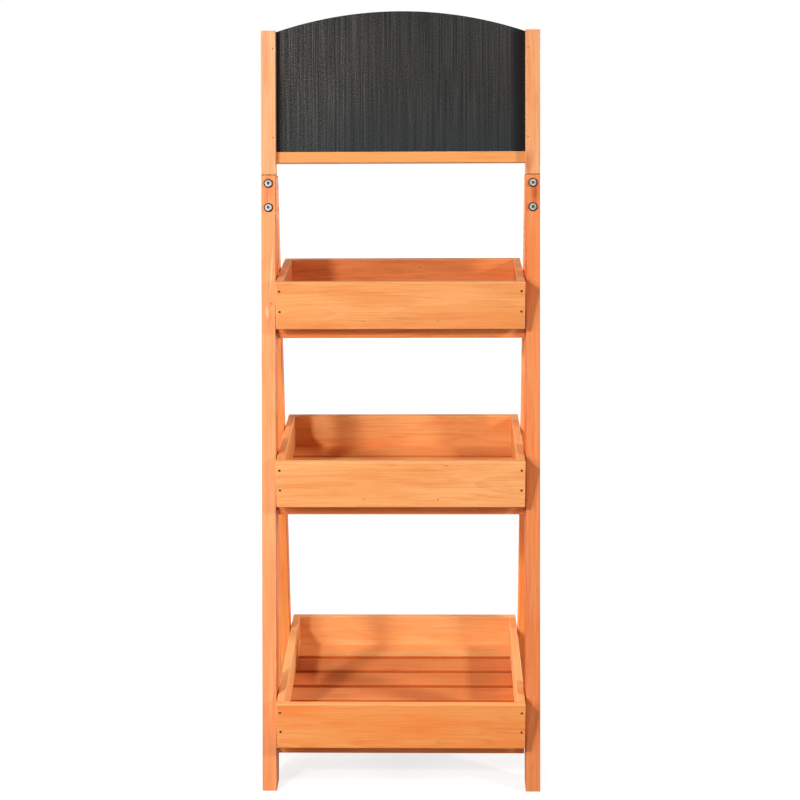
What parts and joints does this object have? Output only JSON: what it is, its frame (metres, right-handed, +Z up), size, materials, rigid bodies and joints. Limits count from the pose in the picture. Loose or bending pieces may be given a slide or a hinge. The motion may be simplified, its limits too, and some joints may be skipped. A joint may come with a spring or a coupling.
{
  "type": "plant stand",
  "caption": "Tiered wooden plant stand with leaning front legs, bolted rear legs, lift-out slatted trays that deepen towards the floor, and an arched chalkboard header.",
  "frame": {"origin": "on the floor, at the middle of the footprint", "axes": "+Z up, +X to the right seen from the front, +Y from the front to the back"},
  "size_m": [0.405, 0.34, 1.0947],
  "materials": {
    "stained_wood": "orange-brown stain, nearly matt, grain along each board",
    "chalkboard_paint": "matt black chalkboard paint with faint vertical brush streaks",
    "nickel_steel": "bright nickel plate",
    "dark_steel": "dark oxidised steel"
  },
  "bodies": {
    "frame": {"front_leg_left": "stained_wood", "front_leg_right": "stained_wood", "rear_leg_left": "stained_wood", "rear_leg_right": "stained_wood", "header_post_left": "stained_wood", "header_post_right": "stained_wood", "chalkboard_rail": "stained_wood", "front_rail_top": "stained_wood", "front_rail_middle": "stained_wood", "front_rail_bottom": "stained_wood", "rear_rail_top": "stained_wood", "rear_rail_middle": "stained_wood", "rear_rail_bottom": "stained_wood", "chalkboard": "chalkboard_paint", "board_pins": "dark_steel", "apex_bolts": "nickel_steel", "apex_barrel_nuts": "nickel_steel"},
    "top_tray": {"top_tray_front_panel": "stained_wood", "top_tray_back_panel": "stained_wood", "top_tray_left_side": "stained_wood", "top_tray_right_side": "stained_wood", "top_tray_slat_1": "stained_wood", "top_tray_slat_2": "stained_wood", "top_tray_slat_3": "stained_wood", "top_tray_nails": "dark_steel"},
    "middle_tray": {"middle_tray_front_panel": "stained_wood", "middle_tray_back_panel": "stained_wood", "middle_tray_left_side": "stained_wood", "middle_tray_right_side": "stained_wood", "middle_tray_slat_1": "stained_wood", "middle_tray_slat_2": "stained_wood", "middle_tray_slat_3": "stained_wood", "middle_tray_slat_4": "stained_wood", "middle_tray_nails": "dark_steel"},
    "bottom_tray": {"bottom_tray_front_panel": "stained_wood", "bottom_tray_back_panel": "stained_wood", "bottom_tray_left_side": "stained_wood", "bottom_tray_right_side": "stained_wood", "bottom_tray_slat_1": "stained_wood", "bottom_tray_slat_2": "stained_wood", "bottom_tray_slat_3": "stained_wood", "bottom_tray_slat_4": "stained_wood", "bottom_tray_slat_5": "stained_wood", "bottom_tray_slat_6": "stained_wood", "bottom_tray_nails": "dark_steel"}
  },
  "joints": [
    {"name": "top_tray_lift", "type": "slide", "parent": "frame", "child": "top_tray", "axis": [0, 0, 1], "range_m": [0, 0.12]},
    {"name": "middle_tray_lift", "type": "slide", "parent": "frame", "child": "middle_tray", "axis": [0, 0, 1], "range_m": [0, 0.12]},
    {"name": "bottom_tray_lift", "type": "slide", "parent": "frame", "child": "bottom_tray", "axis": [0, 0, 1], "range_m": [0, 0.12]}
  ]
}
